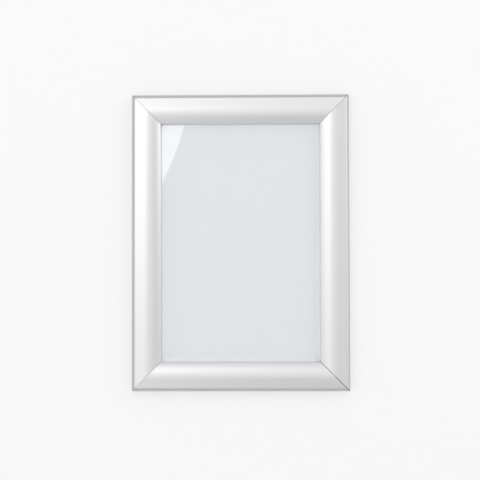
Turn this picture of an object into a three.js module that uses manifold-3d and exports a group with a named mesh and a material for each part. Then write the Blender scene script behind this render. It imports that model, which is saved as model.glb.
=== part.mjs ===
// A snap-open poster frame that hangs on a wall: four mitred base rails lie on the wall and carry a back
// panel and a clear cover, and four rounded front flaps, one along each side, hinge open at their outer
// edges. Leaf springs between each base rail and its flap snap over centre and hold the flap shut or open.
//
// The frame stands upright: +Z is up, X runs along its width, the front looks along -Y, and the origin is
// the middle of the closed frame. Every rail is drawn as a section with two coordinates: u runs in from the
// frame's outer edge, and v runs forward from the wall. Lengths are in millimetres and angles in degrees.

import * as THREE from "three";
import { mergeVertices } from "three/addons/utils/BufferGeometryUtils.js";
import Module from "manifold-3d";

const wasm = await Module();
wasm.setup();

// Driving dimensions of the whole frame
const POSTER_WIDTH = 210;
const POSTER_HEIGHT = 297;
const POSTER_INSET = 15;
const RAIL_FACE = 32;
const RAIL_DEPTH = 14;
const OPEN_DEGREES = 90;
const CLEARANCE = 0.3;
const MITRE_GAP = 0.4;
const OVERRUN = 1;

// Sheets that the frame holds
const PANEL_THICKNESS = 1.5;
const COVER_THICKNESS = 0.5;
const SHEET_TRIM = 0.5;

// Base rail
const WALL = 1.2;
const SIDE_REVEAL = 0.2;
const LEDGE_END = 28;
const FENCE_THICKNESS = 1;
const CHANNEL_WIDTH = 4.7;
const CHANNEL_LIP = 0.9;
const CHANNEL_LIP_REACH = 1;
const UPRIGHT_HEADROOM = 0.3;
const SCREW_RADIUS = 2.2;
const COUNTERSINK_RADIUS = 3.4;
const COUNTERSINK_FLOOR = 0.1;

// Hinge along the outer edge: the flap's round bead turns in the base rail's socket
const HINGE_HEIGHT = 6.7;
const BEAD_RADIUS = 0.8;
const NECK_THICKNESS = 0.7;
const SOCKET_WALL = 0.8;
const SOCKET_TIP = 0.5;
const SOCKET_LIP_DEGREES = 180;

// Front flap
const SKIN = 1.3;
const EDGE_WIDTH = 3.8;
const CREST_PLACE = 16.3;
const LEAN_DEGREES = 7;
const LIP_HEIGHT = 5.2;
const LIP_ROUND = 0.8;
const TOE_WIDTH = 1.8;
const RIB_PLACE = 16;
const RIB_THICKNESS = 1.2;
const RIB_HEADROOM = 0.5;
// How near the outer edge's bending points lie to its ends: lower is closer to a flat chamfer
const EDGE_BEND_SHARE = 0.25;

// Leaf springs and the grooves that seat their edges
const SEAT_DEPTH = 0.6;
const SEAT_HALF_HEIGHT = 0.8;
const SEAT_INSET = 1.1;
const SPRING_THICKNESS = 0.4;
const SPRING_LENGTH = 60;
const SPRING_BOW = 1.8;
const SPRING_PLACE_SHARES = [0.32, 0.68];

// Corner keys
const KEY_THICKNESS = 1.9;
const KEY_LEG = 34;
const KEY_CHAMFER = 1.5;

// Steps along round stretches
const EDGE_STEPS = 8;
const CREST_STEPS = 3;
const SLOPE_STEPS = 11;
const LIP_STEPS = 3;
const BEAD_STEPS = 16;
const SOCKET_STEPS = 12;
const SPRING_STEPS = 8;
const HOLE_STEPS = 24;

const SIDE_NAMES = ["bottom", "right", "top", "left"];
const CORNER_NAMES = ["bottom_left", "bottom_right", "top_right", "top_left"];

// Sizes that follow from the ones above
const frameWidth = POSTER_WIDTH + 2 * POSTER_INSET;
const frameHeight = POSTER_HEIGHT + 2 * POSTER_INSET;
const mitreStep = MITRE_GAP * Math.SQRT1_2;
const panelBack = WALL + CLEARANCE;
const coverBack = panelBack + PANEL_THICKNESS + CLEARANCE;
const coverFront = coverBack + COVER_THICKNESS;
const openAngle = THREE.MathUtils.degToRad(OPEN_DEGREES);
const socketInner = BEAD_RADIUS + CLEARANCE;
const socketOuter = socketInner + SOCKET_WALL;
const hingePlace = SIDE_REVEAL + socketOuter;
// The socket's mouth lets the neck swing through the whole opening angle with the clearance to spare.
const outerLipAngle = THREE.MathUtils.degToRad(SOCKET_LIP_DEGREES);
const neckSpread = Math.asin(NECK_THICKNESS / 2 / socketInner) + CLEARANCE / socketInner;
const neckAngle = outerLipAngle - openAngle - neckSpread;
const innerLipAngle = neckAngle - neckSpread;
// The flap's outer edge ends where it just passes the base rail's side when it is fully open.
const edgeReach = socketOuter + CLEARANCE - hingePlace * Math.cos(openAngle);
const edgeBottom = HINGE_HEIGHT + edgeReach / Math.sin(openAngle);
const uprightOuter = SIDE_REVEAL + WALL + CHANNEL_WIDTH;
const uprightInner = uprightOuter + WALL;
const ribFoot = coverFront + RIB_HEADROOM;
const flapSeat = ribFoot + SEAT_INSET;
const ribInner = RIB_PLACE + RIB_THICKNESS;
const lipTop = coverFront + CLEARANCE + LIP_HEIGHT + LIP_ROUND;
// The front is an arc over its crest, and leans outward in a straight line up to the outer edge.
const crestRun = RAIL_FACE - LIP_ROUND - CREST_PLACE;
const crestDrop = RAIL_DEPTH - lipTop;
const frontRadius = (crestRun ** 2 + crestDrop ** 2) / (2 * crestDrop);
const frontEnd = Math.acos(crestRun / frontRadius);
const leanAngle = THREE.MathUtils.degToRad(LEAN_DEGREES);
const uprightTop = leaningHeight(uprightOuter, SKIN) - UPRIGHT_HEADROOM;
const baseSeat = uprightTop - SEAT_INSET;

function point(u, v) {
  return new THREE.Vector2(u, v);
}

function arcPoints(u, v, radius, from, to, steps) {
  const points = [];
  for (let i = 0; i <= steps; i++) {
    const angle = from + ((to - from) * i) / steps;
    points.push(point(u + radius * Math.cos(angle), v + radius * Math.sin(angle)));
  }
  return points;
}

// Points along a curve, moved sideways by a distance: to the left of its direction if positive.
function besideCurve(curve, distance, steps) {
  const points = [];
  for (let i = 0; i <= steps; i++) {
    const along = curve.getTangent(i / steps);
    const place = curve.getPoint(i / steps);
    points.push(point(place.x - distance * along.y, place.y + distance * along.x));
  }
  return points;
}

function heightAt(points, u) {
  const after = points.findIndex((place) => place.x > u);
  const left = points[after - 1];
  const right = points[after];
  return THREE.MathUtils.mapLinear(u, left.x, right.x, left.y, right.y);
}

// A solid for cutting, from a closed geometry
function solidOf(geometry) {
  const bare = geometry.index ? geometry.toNonIndexed() : geometry.clone();
  bare.deleteAttribute("normal");
  bare.deleteAttribute("uv");
  const merged = mergeVertices(bare);
  const vertProperties = merged.attributes.position.array;
  const triVerts = merged.index.array;
  return new wasm.Manifold(new wasm.Mesh({ numProp: 3, vertProperties, triVerts }));
}

function geometryOf(solid) {
  const mesh = solid.getMesh();
  const geometry = new THREE.BufferGeometry();
  geometry.setAttribute("position", new THREE.BufferAttribute(mesh.vertProperties, mesh.numProp));
  geometry.setIndex(new THREE.BufferAttribute(mesh.triVerts, 1));
  geometry.computeVertexNormals();
  return geometry;
}

// A bar of one section whose ends are cut at 45 degrees, so that it is longest at the outer edge
function mitredBar(outline, length) {
  const settings = { depth: length, steps: 1, bevelEnabled: false };
  const bar = new THREE.ExtrudeGeometry(new THREE.Shape(outline), settings);
  const place = bar.attributes.position;
  for (let i = 0; i < place.count; i++) {
    const inset = place.getX(i) + mitreStep;
    place.setZ(i, place.getZ(i) < length / 2 ? inset : length - inset);
  }
  return bar;
}

function box(low, high) {
  const size = new THREE.Vector3().subVectors(high, low);
  const middle = new THREE.Vector3().addVectors(low, high).multiplyScalar(1 / 2);
  return new THREE.BoxGeometry(size.x, size.y, size.z).translate(middle.x, middle.y, middle.z);
}

// Base rail: side wall with the hinge socket, key channel open to the back, upright, fence and ledge
function baseOutline() {
  const wallInner = SIDE_REVEAL + WALL;
  const ceiling = CHANNEL_LIP + KEY_THICKNESS + 2 * CLEARANCE;
  const socketFoot = Math.PI + Math.acos((hingePlace - wallInner) / socketOuter);
  const innerLip = innerLipAngle + 2 * Math.PI;
  return [
    point(SIDE_REVEAL, 0),
    point(wallInner + CHANNEL_LIP_REACH, 0),
    point(wallInner + CHANNEL_LIP_REACH, CHANNEL_LIP),
    point(wallInner, CHANNEL_LIP),
    point(wallInner, ceiling),
    point(uprightOuter, ceiling),
    point(uprightOuter, CHANNEL_LIP),
    point(uprightOuter - CHANNEL_LIP_REACH, CHANNEL_LIP),
    point(uprightOuter - CHANNEL_LIP_REACH, 0),
    point(LEDGE_END, 0),
    point(LEDGE_END, WALL),
    point(POSTER_INSET, WALL),
    point(POSTER_INSET, coverFront),
    point(POSTER_INSET - FENCE_THICKNESS, coverFront),
    point(POSTER_INSET - FENCE_THICKNESS, WALL),
    point(uprightInner, WALL),
    point(uprightInner, baseSeat - SEAT_HALF_HEIGHT),
    point(uprightInner - SEAT_DEPTH, baseSeat),
    point(uprightInner, baseSeat + SEAT_HALF_HEIGHT),
    point(uprightInner, uprightTop),
    point(uprightOuter, uprightTop),
    point(uprightOuter, ceiling + WALL),
    point(wallInner, ceiling + WALL),
    ...arcPoints(hingePlace, HINGE_HEIGHT, socketOuter, socketFoot, innerLip, SOCKET_STEPS),
    ...arcPoints(hingePlace, HINGE_HEIGHT, socketInner, innerLip, outerLipAngle, SOCKET_STEPS),
    point(SIDE_REVEAL, HINGE_HEIGHT + SOCKET_TIP),
  ];
}

// A countersunk hole for a wall screw, through the ledge under the panel
function screwHole(length) {
  const place = (POSTER_INSET + LEDGE_END) / 2;
  const shank = 2 * OVERRUN + WALL;
  const cone = WALL - COUNTERSINK_FLOOR + OVERRUN;
  const flare = (COUNTERSINK_RADIUS - SCREW_RADIUS) / (WALL - COUNTERSINK_FLOOR);
  const wide = SCREW_RADIUS + cone * flare;
  const hole = new THREE.CylinderGeometry(SCREW_RADIUS, SCREW_RADIUS, shank, HOLE_STEPS);
  hole.translate(place, WALL / 2, length / 2);
  const countersink = new THREE.CylinderGeometry(wide, SCREW_RADIUS, cone, HOLE_STEPS);
  countersink.translate(place, COUNTERSINK_FLOOR + cone / 2, length / 2);
  return solidOf(hole).add(solidOf(countersink));
}

function baseRail(length) {
  const bar = solidOf(mitredBar(baseOutline(), length));
  return geometryOf(bar.subtract(screwHole(length)));
}

// Height of the flap's leaning outer zone, or of its inner face when a skin's thickness is given
function leaningHeight(u, skin) {
  const crest = RAIL_DEPTH - frontRadius + (frontRadius - skin) / Math.cos(leanAngle);
  return crest - (CREST_PLACE - u) * Math.tan(leanAngle);
}

// The flap's outer edge, from its bottom up to the leaning zone
function edgeCurve(skin) {
  const bend = EDGE_BEND_SHARE * (EDGE_WIDTH - skin);
  const top = leaningHeight(EDGE_WIDTH, skin);
  return new THREE.CubicBezierCurve(
    point(skin, edgeBottom),
    point(skin, edgeBottom + EDGE_BEND_SHARE * (top - edgeBottom)),
    point(EDGE_WIDTH - bend, leaningHeight(EDGE_WIDTH - bend, skin)),
    point(EDGE_WIDTH, top),
  );
}

// The flap's front from the end of its leaning zone over the crest down to the lip at the window
function frontPoints(skin) {
  const centre = RAIL_DEPTH - frontRadius;
  const radius = frontRadius - skin;
  const crest = Math.PI / 2;
  return [
    ...arcPoints(CREST_PLACE, centre, radius, crest + leanAngle, crest, CREST_STEPS),
    ...arcPoints(CREST_PLACE, centre, radius, crest, frontEnd, SLOPE_STEPS).slice(1),
  ];
}

function lipPoints() {
  const start = point(RAIL_FACE - LIP_ROUND, lipTop);
  const corner = point(RAIL_FACE, lipTop - LIP_ROUND / Math.tan(frontEnd));
  const end = point(RAIL_FACE, lipTop - LIP_ROUND);
  return new THREE.QuadraticBezierCurve(start, corner, end).getPoints(LIP_STEPS);
}

// Flap: rounded outer edge, arched front and lip, then back along the underside by way of the toe
// that presses on the cover, the spring rib and the neck of the hinge bead
function flapOutline() {
  const under = frontPoints(SKIN);
  const toeBottom = coverFront + CLEARANCE;
  const neckRise = leaningHeight(hingePlace, SKIN) - HINGE_HEIGHT;
  const neckLength = (neckRise * Math.cos(leanAngle)) / Math.sin(neckAngle - leanAngle);
  const neckRoot = hingePlace + neckLength * Math.cos(neckAngle);
  const halfRoot = (NECK_THICKNESS * Math.cos(leanAngle)) / (2 * Math.sin(neckAngle - leanAngle));
  const beadSpread = Math.asin(NECK_THICKNESS / 2 / BEAD_RADIUS);
  const beadStart = neckAngle - beadSpread;
  const beadEnd = neckAngle + beadSpread - 2 * Math.PI;
  return [
    ...edgeCurve(0).getPoints(EDGE_STEPS),
    ...frontPoints(0),
    ...lipPoints().slice(1),
    point(RAIL_FACE, toeBottom),
    point(RAIL_FACE - TOE_WIDTH, toeBottom),
    ...under.filter((place) => place.x > ribInner).reverse(),
    point(ribInner, heightAt(under, ribInner)),
    point(ribInner, ribFoot),
    point(RIB_PLACE, ribFoot),
    point(RIB_PLACE, flapSeat - SEAT_HALF_HEIGHT),
    point(RIB_PLACE + SEAT_DEPTH, flapSeat),
    point(RIB_PLACE, flapSeat + SEAT_HALF_HEIGHT),
    point(RIB_PLACE, heightAt(under, RIB_PLACE)),
    ...under.filter((place) => place.x < RIB_PLACE).reverse(),
    point(neckRoot + halfRoot, leaningHeight(neckRoot + halfRoot, SKIN)),
    ...arcPoints(hingePlace, HINGE_HEIGHT, BEAD_RADIUS, beadStart, beadEnd, BEAD_STEPS),
    point(neckRoot - halfRoot, leaningHeight(neckRoot - halfRoot, SKIN)),
    ...edgeCurve(SKIN).getPoints(EDGE_STEPS).reverse(),
  ];
}

// Cuts between two points of the section, each reaching in from an end of the rail
function endReliefs(low, high, reach, length) {
  const nearLow = new THREE.Vector3(low.x, low.y, -OVERRUN);
  const nearHigh = new THREE.Vector3(high.x, high.y, reach);
  const farLow = new THREE.Vector3(low.x, low.y, length - reach);
  const farHigh = new THREE.Vector3(high.x, high.y, length + OVERRUN);
  return solidOf(box(nearLow, nearHigh)).add(solidOf(box(farLow, farHigh)));
}

// The bead and the rib's foot stop short of the mitre, so that they turn clear of the neighbouring rail.
function frontFlap(length) {
  const bar = solidOf(mitredBar(flapOutline(), length));
  const beadReach = hingePlace + BEAD_RADIUS + CLEARANCE;
  const beadLow = point(-OVERRUN, HINGE_HEIGHT - BEAD_RADIUS - OVERRUN);
  const beadHigh = point(beadReach, HINGE_HEIGHT + BEAD_RADIUS);
  const ribReach = hingePlace + Math.hypot(ribInner - hingePlace, HINGE_HEIGHT - ribFoot) + CLEARANCE;
  const ribLow = point(RIB_PLACE - OVERRUN, ribFoot - OVERRUN);
  const ribHigh = point(ribInner + OVERRUN, HINGE_HEIGHT);
  const beadCut = endReliefs(beadLow, beadHigh, beadReach, length);
  const ribCut = endReliefs(ribLow, ribHigh, ribReach, length);
  return geometryOf(bar.subtract(beadCut).subtract(ribCut));
}

// A bowed strip whose edges sit in the grooves of the upright and of the flap's rib
function leafSpring() {
  const start = point(uprightInner - SEAT_DEPTH + CLEARANCE + SPRING_THICKNESS / 2, baseSeat);
  const end = point(RIB_PLACE + SEAT_DEPTH - CLEARANCE - SPRING_THICKNESS / 2, flapSeat);
  const along = point(end.x - start.x, end.y - start.y).normalize();
  const middle = point((start.x + end.x) / 2, (start.y + end.y) / 2);
  middle.x -= 2 * SPRING_BOW * along.y;
  middle.y += 2 * SPRING_BOW * along.x;
  const curve = new THREE.QuadraticBezierCurve(start, middle, end);
  const outline = [
    ...besideCurve(curve, SPRING_THICKNESS / 2, SPRING_STEPS),
    ...besideCurve(curve, -SPRING_THICKNESS / 2, SPRING_STEPS).reverse(),
  ];
  const settings = { depth: SPRING_LENGTH, steps: 1, bevelEnabled: false };
  return new THREE.ExtrudeGeometry(new THREE.Shape(outline), settings);
}

// A flat L that lies in the channels of two rails and joins them at a corner
function cornerKey() {
  const edge = SIDE_REVEAL + WALL + CLEARANCE;
  const inner = edge + CHANNEL_WIDTH - 2 * CLEARANCE;
  const tip = edge + KEY_LEG;
  const shape = new THREE.Shape([
    point(edge, edge),
    point(tip - KEY_CHAMFER, edge),
    point(tip, edge + KEY_CHAMFER),
    point(tip, inner - KEY_CHAMFER),
    point(tip - KEY_CHAMFER, inner),
    point(inner, inner),
    point(inner, tip - KEY_CHAMFER),
    point(inner - KEY_CHAMFER, tip),
    point(edge + KEY_CHAMFER, tip),
    point(edge, tip - KEY_CHAMFER),
  ]);
  const settings = { depth: KEY_THICKNESS, steps: 1, bevelEnabled: false };
  const key = new THREE.ExtrudeGeometry(shape, settings).rotateX(Math.PI / 2);
  return key.translate(0, CHANNEL_LIP + CLEARANCE + KEY_THICKNESS, 0);
}

function sheet(back, thickness) {
  const width = POSTER_WIDTH - 2 * SHEET_TRIM;
  const height = POSTER_HEIGHT - 2 * SHEET_TRIM;
  const middle = RAIL_DEPTH / 2 - back - thickness / 2;
  return new THREE.BoxGeometry(width, thickness, height).translate(0, middle, 0);
}

function piece(name, geometry, finish) {
  const mesh = new THREE.Mesh(geometry, new THREE.MeshStandardMaterial(finish));
  mesh.name = name;
  return mesh;
}

const satinAluminium = { color: 0xd4d6d8, roughness: 0.38, metalness: 1 };
const zincSteel = { color: 0xb9bcbc, roughness: 0.45, metalness: 1 };
const springSteel = { color: 0x8f9296, roughness: 0.3, metalness: 1 };
const whitePlastic = { color: 0xdfe4e6, roughness: 0.6, metalness: 0 };
const clearPlastic = { color: 0xf4f8fa, roughness: 0.05, metalness: 0, transparent: true, opacity: 0.3 };

// One side of the frame: its base rail, flap and two springs, and the key at the corner where it starts
function side(index) {
  const upright = index % 2 === 1;
  const length = upright ? frameHeight : frameWidth;
  const across = upright ? frameWidth : frameHeight;
  const name = SIDE_NAMES[index];
  const section = new THREE.Group();
  const inward = new THREE.Vector3(0, 0, 1);
  const forward = new THREE.Vector3(0, -1, 0);
  const along = new THREE.Vector3(1, 0, 0);
  section.setRotationFromMatrix(new THREE.Matrix4().makeBasis(inward, forward, along));
  section.position.set(-length / 2, RAIL_DEPTH / 2, -across / 2);
  section.add(piece(`base_rail_${name}`, baseRail(length), satinAluminium));
  section.add(piece(`flap_${name}`, frontFlap(length), satinAluminium));
  section.add(piece(`corner_key_${CORNER_NAMES[index]}`, cornerKey(), zincSteel));
  SPRING_PLACE_SHARES.forEach((share, i) => {
    const spring = piece(`leaf_spring_${name}_${i + 1}`, leafSpring(), springSteel);
    spring.position.z = share * length - SPRING_LENGTH / 2;
    section.add(spring);
  });
  const turned = new THREE.Group();
  turned.rotation.y = (-index * Math.PI) / 2;
  turned.add(section);
  return turned;
}

const frame = new THREE.Group();
SIDE_NAMES.forEach((name, index) => frame.add(side(index)));
frame.add(piece("back_panel", sheet(panelBack, PANEL_THICKNESS), whitePlastic));
frame.add(piece("clear_cover", sheet(coverBack, COVER_THICKNESS), clearPlastic));

export default frame;
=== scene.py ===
"""A snap-open poster frame on a wall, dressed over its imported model.

The file is laid out as an add-on and is run as a script. Lengths are in metres. The frame stands
upright with its front towards -Y, and every rail is drawn as a section with two coordinates: u runs
in from the frame's outer edge and v runs forward from the wall.
"""

import math

import bmesh
import bpy
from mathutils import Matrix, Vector


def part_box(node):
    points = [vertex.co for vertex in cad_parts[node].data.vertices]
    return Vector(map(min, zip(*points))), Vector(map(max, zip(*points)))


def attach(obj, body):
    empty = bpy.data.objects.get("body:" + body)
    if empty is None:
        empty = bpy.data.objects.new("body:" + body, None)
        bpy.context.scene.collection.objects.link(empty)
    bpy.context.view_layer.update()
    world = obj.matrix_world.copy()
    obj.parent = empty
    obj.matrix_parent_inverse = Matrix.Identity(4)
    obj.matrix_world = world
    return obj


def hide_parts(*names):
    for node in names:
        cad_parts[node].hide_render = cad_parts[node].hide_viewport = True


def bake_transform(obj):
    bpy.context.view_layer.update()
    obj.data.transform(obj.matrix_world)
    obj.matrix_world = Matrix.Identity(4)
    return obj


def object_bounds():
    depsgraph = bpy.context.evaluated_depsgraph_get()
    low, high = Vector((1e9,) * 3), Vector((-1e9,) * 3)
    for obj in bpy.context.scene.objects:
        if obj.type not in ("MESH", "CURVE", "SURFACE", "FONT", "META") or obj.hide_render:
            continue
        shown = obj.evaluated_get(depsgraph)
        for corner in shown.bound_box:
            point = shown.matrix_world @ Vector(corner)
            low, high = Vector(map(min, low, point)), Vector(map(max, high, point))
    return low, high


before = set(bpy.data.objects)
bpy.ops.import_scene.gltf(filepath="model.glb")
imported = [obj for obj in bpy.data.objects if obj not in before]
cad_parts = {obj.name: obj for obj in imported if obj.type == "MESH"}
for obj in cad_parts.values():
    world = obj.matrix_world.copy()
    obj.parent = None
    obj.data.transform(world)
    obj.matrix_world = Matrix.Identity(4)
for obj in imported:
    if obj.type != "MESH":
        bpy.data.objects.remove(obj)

bl_info = {
    "name": "Snap poster frame",
    "version": (1, 0, 0),
    "blender": (4, 5, 0),
    "location": "3D View > Sidebar > Poster Frame",
    "description": "Builds a snap-open poster frame from its rails to its springs, and its studio",
    "category": "Object",
}

MM = 0.001
NEAR = 1e-7
SIDES = ("bottom", "right", "top", "left")
CORNERS = ("bottom_left", "bottom_right", "top_right", "top_left")
QUARTERS = ((1, 1), (-1, 1), (-1, -1), (1, -1))
PACKED_BOX = [list(corner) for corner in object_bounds()]
FRAME_WIDTH = PACKED_BOX[1][0] - PACKED_BOX[0][0]
FRAME_HEIGHT = PACKED_BOX[1][2] - PACKED_BOX[0][2]
FRAME_DEPTH = PACKED_BOX[1][1] - PACKED_BOX[0][1]
PANEL_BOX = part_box("back_panel")
COVER_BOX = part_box("clear_cover")

# Steps along the section's curves, across and along a spring, and round a sheet's corner
EDGE_STEPS, LEAN_STEPS, FRONT_STEPS, LIP_STEPS, HINGE_STEPS = 20, 8, 26, 8, 24
STRIP_ACROSS, STRIP_ALONG, CORNER_STEPS = 20, 24, 6

# A section's corners: the least turn that is rounded, the steps and the share of a side that the
# rounding takes, and the length in radii from which a side gets holding points
LEAST_TURN, ROUND_STEPS, ROUND_SHARE, LONG_SIDE = 0.4, 4, 0.35, 6

# A rail: its rings from end to end, the bend that stays sharp, and its screw hole
RINGS = 4
SHARP_BEND = math.radians(32)
HOLE_SIDES, HOLE_REACH = 48, 6 * MM

# The shape of broken edges, and how small those of the base rails are beside the flaps'
BREAK_PROFILE = 0.7
BASE_EDGE_SHARE = 0.6

# How strongly the die's lines show on the flaps and on the base rails
FLAP_LINES, BASE_LINES = 0.5, 1.0

# Where the flaps' painted shade and painted light start and stop: the painted shade along the outer
# edge, in widths of that edge, and the painted light on the lip at the window, in radii of the lip
PAINTED_ZONE_SHARES = (0.75, 1.1, 0.4, 0.05)

# Sawn faces, coloured darker as painted shade in the mitre gaps: how much of the colour they keep,
# and how far they face along and across at least
SAWN_SHADE, SAWN_LEAST = 0.4, 0.6

# Painted light on the panel: a paler margin beside the rails that lightens the lips' shade, its
# width and tone
PAINTED_MARGIN_WIDTH, PAINTED_MARGIN_LIGHT = 6 * MM, 1.18

# The backdrop: how far it reaches, the floor's height, how far the wall stands off the frame, and
# the share of its glow that the camera sees in the wall, which is white on the wall and black, as
# painted shade, on the strips behind the mitres
STAGE_REACH, FLOOR_HEIGHT = 2.4, -1.3
WALL_GAP = 0.05 * MM
GLOW_SHARE = 0.6

# The strips of wall behind the mitres: off the frame, out past its corner, half their width, and
# their reach in widths of a rail
STRIP_GAP, STRIP_START, STRIP_HALF_WIDTH, STRIP_REACH = 0.03 * MM, 0.5 * MM, 0.35 * MM, 1.1

# The lamps: name, shape, place and size
SOFTBOXES = (
    ("round", "DISK", (-0.605, -1.161, 0.379), 1.047),
    ("front", "SQUARE", (0.0, -1.7, 0.2), 1.25),
    ("top", "SQUARE", (0.0, -1.357, 0.848), 0.8),
    ("low", "SQUARE", (-0.65, -1.357, -0.65), 0.8),
    ("left", "SQUARE", (-1.386, -0.8, 0.0), 0.8),
    ("right", "SQUARE", (1.2, -0.8, 0.693), 0.9),
    ("side", "SQUARE", (1.552, -0.387, 0.0), 0.7),
)


def length(name, default, description):
    return bpy.props.FloatProperty(
        name=name, default=default, description=description, min=0.0, unit="LENGTH", precision=5
    )


def share(name, default, description):
    return bpy.props.FloatProperty(
        name=name, default=default, description=description, min=0.0, max=1.0, subtype="FACTOR"
    )


def level(name, default, description):
    return bpy.props.FloatProperty(name=name, default=default, description=description, min=0.0)


def angle(name, degrees, description):
    return bpy.props.FloatProperty(
        name=name, default=math.radians(degrees), description=description, subtype="ANGLE"
    )


def colour(name, default, description):
    return bpy.props.FloatVectorProperty(
        name=name,
        default=default,
        description=description,
        size=3,
        min=0.0,
        max=1.0,
        subtype="COLOR",
    )


class PosterFrameSizes(bpy.types.PropertyGroup):
    """Sizes that all rails share"""

    rail_face: length("Rail face", 32 * MM, "Width of a rail as seen from the front")
    poster_inset: length("Poster inset", 15 * MM, "How far in the poster's edge lies")
    clearance: length("Clearance", 0.3 * MM, "Room between pieces that fit together")
    mitre_gap: length("Mitre gap", 0.4 * MM, "Gap between two rails at a corner")
    mitre_tight: length("Tight mitre", 0.14 * MM, "Gap where two flaps meet closely")
    mitre_top_left: length("Top left mitre", 0.17 * MM, "Gap between two flaps at the top left")
    mitre_bottom_right: length("Bottom right mitre", 0.55 * MM, "Gap at the bottom right")
    sawn_edge: length("Sawn edge", 0.08 * MM, "Width of the broken edge round a sawn rail end")
    corner_round: length("Corner round", 0.25 * MM, "Radius of an extruded section's small corners")
    open_angle: angle("Open angle", 90, "How far a flap swings open")


class PosterFrameFlap(bpy.types.PropertyGroup):
    """Section of the front flaps"""

    skin: length("Skin", 1.3 * MM, "Thickness of the flap's wall")
    edge_width: length("Edge width", 3.8 * MM, "Width of the rounded outer edge")
    edge_bend: share("Edge bend", 0.25, "How near the outer edge's bends lie to its ends")
    crest_place: length("Crest place", 16.3 * MM, "Where the arched front is highest")
    lean: angle("Lean", 7, "How far the outer zone leans outward")
    lip_height: length("Lip height", 5.2 * MM, "Height of the lip at the window")
    lip_round: length("Lip round", 0.8 * MM, "Radius over which the slope turns into the lip")
    toe_width: length("Toe width", 1.8 * MM, "Width of the toe that presses on the cover")
    rib_place: length("Rib place", 16 * MM, "Where the spring rib stands")
    rib_thickness: length("Rib thickness", 1.2 * MM, "Thickness of the spring rib")
    rib_headroom: length("Rib headroom", 0.5 * MM, "Gap between the cover and the rib's foot")
    bead_radius: length("Bead radius", 0.8 * MM, "Radius of the hinge bead")
    neck_thickness: length("Neck thickness", 0.7 * MM, "Thickness of the neck under the bead")


class PosterFrameBase(bpy.types.PropertyGroup):
    """Section of the base rails"""

    wall: length("Wall", 1.2 * MM, "Thickness of the base rail's walls")
    side_reveal: length("Side reveal", 0.2 * MM, "How far the side wall stands back")
    ledge_end: length("Ledge end", 28 * MM, "How far in the ledge under the panel reaches")
    fence: length("Fence", 1 * MM, "Thickness of the fence that places the sheets")
    channel: length("Channel", 4.7 * MM, "Width of the channel for the corner keys")
    channel_lip: length("Channel lip", 0.9 * MM, "Thickness of the channel's lips")
    lip_reach: length("Lip reach", 1 * MM, "How far the channel's lips reach in")
    headroom: length("Headroom", 0.3 * MM, "Gap between the upright and the flap's underside")
    hinge_height: length("Hinge height", 6.7 * MM, "Height of the hinge over the wall")
    socket_wall: length("Socket wall", 0.8 * MM, "Thickness of the hinge socket")
    socket_tip: length("Socket tip", 0.5 * MM, "How far the side wall passes the hinge's height")
    socket_lip: angle("Socket lip", 180, "Where the socket's outer lip ends")
    screw_radius: length("Screw radius", 2.2 * MM, "Radius of the wall screw's hole")
    sink_radius: length("Countersink radius", 3.4 * MM, "Radius of the countersink at its mouth")


class PosterFrameSpring(bpy.types.PropertyGroup):
    """Leaf springs and their seats"""

    seat_depth: length("Seat depth", 0.6 * MM, "Depth of the grooves that hold the springs")
    seat_half_height: length("Seat half height", 0.8 * MM, "Half of a seat groove's height")
    seat_inset: length("Seat inset", 1.1 * MM, "From a seat groove's middle to the end of its rib")
    thickness: length("Thickness", 0.4 * MM, "Thickness of the spring steel")
    span: length("Length", 60 * MM, "Length of one spring")
    bow: length("Bow", 1.8 * MM, "How far the spring bows")
    corner: length("Corner", 1.6 * MM, "Radius of the spring's corners")
    first: share("First place", 0.32, "Place of the first spring along its rail")
    second: share("Second place", 0.68, "Place of the second spring along its rail")


class PosterFrameKey(bpy.types.PropertyGroup):
    """Corner keys"""

    thickness: length("Thickness", 1.9 * MM, "Thickness of a corner key")
    leg: length("Leg", 34 * MM, "Length of a corner key's leg")
    chamfer: length("Chamfer", 1.5 * MM, "Chamfer at a corner key's tips")
    edge: length("Edge", 0.2 * MM, "Broken edge of a corner key")


class PosterFrameSheets(bpy.types.PropertyGroup):
    """Back panel and clear cover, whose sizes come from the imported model"""

    corner: length("Corner", 1 * MM, "Radius of the sheets' corners")
    panel_edge: length("Panel edge", 0.15 * MM, "Broken edge of the back panel")
    cover_edge: length("Cover edge", 0.06 * MM, "Broken edge of the clear cover")


class PosterFrameFinish(bpy.types.PropertyGroup):
    """Colours and gloss of the finishes"""

    aluminium: colour("Satin aluminium", (0.653, 0.652, 0.663), "Anodised flaps")
    aluminium_roughness: share("Satin roughness", 0.34, "How softly the flaps mirror")
    # Painted shade: the bent outer edge is coloured darker than the flap's front
    painted_edge_shade: share("Edge painted shade", 0.8, "How much of its colour the bent outer edge keeps")
    # Painted light: the lip at the window is coloured brighter, which lightens the shade beside it
    painted_lip_light: level("Lip painted light", 1.35, "How many times as bright as the front the lip is")
    base: colour("Base aluminium", (0.6, 0.603, 0.607), "Base rails")
    base_roughness: share("Base roughness", 0.36, "How softly the base rails mirror")
    zinc: colour("Zinc", (0.62, 0.66, 0.69), "Corner keys")
    steel: colour("Spring steel", (0.33, 0.35, 0.38), "Leaf springs")
    panel: colour("Panel", (0.633, 0.65, 0.674), "Back panel")


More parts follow.
